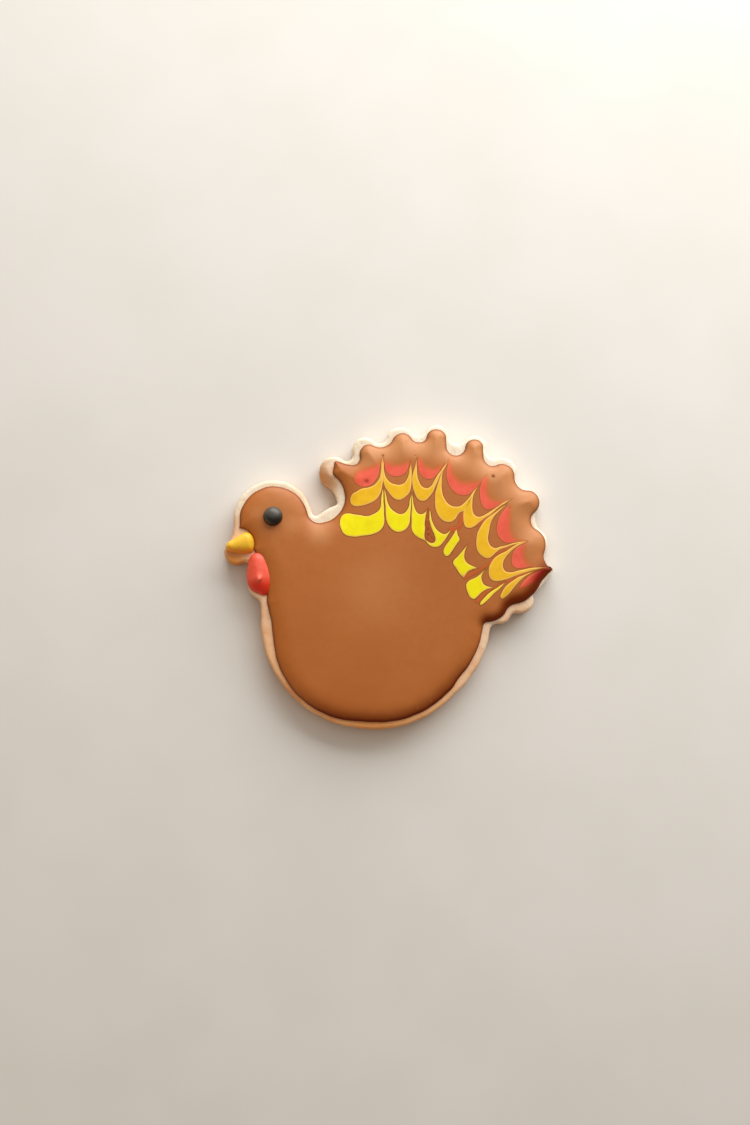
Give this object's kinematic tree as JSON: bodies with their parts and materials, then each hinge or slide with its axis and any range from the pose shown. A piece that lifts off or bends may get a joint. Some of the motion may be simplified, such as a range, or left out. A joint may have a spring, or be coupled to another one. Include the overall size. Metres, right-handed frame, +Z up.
{
  "type": "iced sugar cookie",
  "caption": "Flat iced sugar cookie cut as a turkey facing left, with brown flooded icing, feathered tail colours, and a raised eye, beak and wattle.",
  "frame": {"origin": "middle of the bounding box, on the flat underside that the cookie lies on", "axes": "+X from the beak towards the tail, +Y from the breast towards the top of the tail, +Z up out of the iced face"},
  "size_m": [0.097, 0.0896, 0.0114],
  "materials": {
    "biscuit": "matte, lightly baked pale dough with a fine crumb, browner at the lower edge",
    "brown_icing": "dry flooded royal icing, satin",
    "black_icing": "dry piped royal icing, semi gloss",
    "gold_icing": "dry royal icing, satin",
    "red_icing": "dry royal icing, satin",
    "yellow_icing": "dry royal icing, satin"
  },
  "bodies": {
    "root": {"biscuit": "biscuit", "icing": "brown_icing", "eye": "black_icing", "beak": "gold_icing", "wattle": "red_icing"}
  },
  "joints": []
}
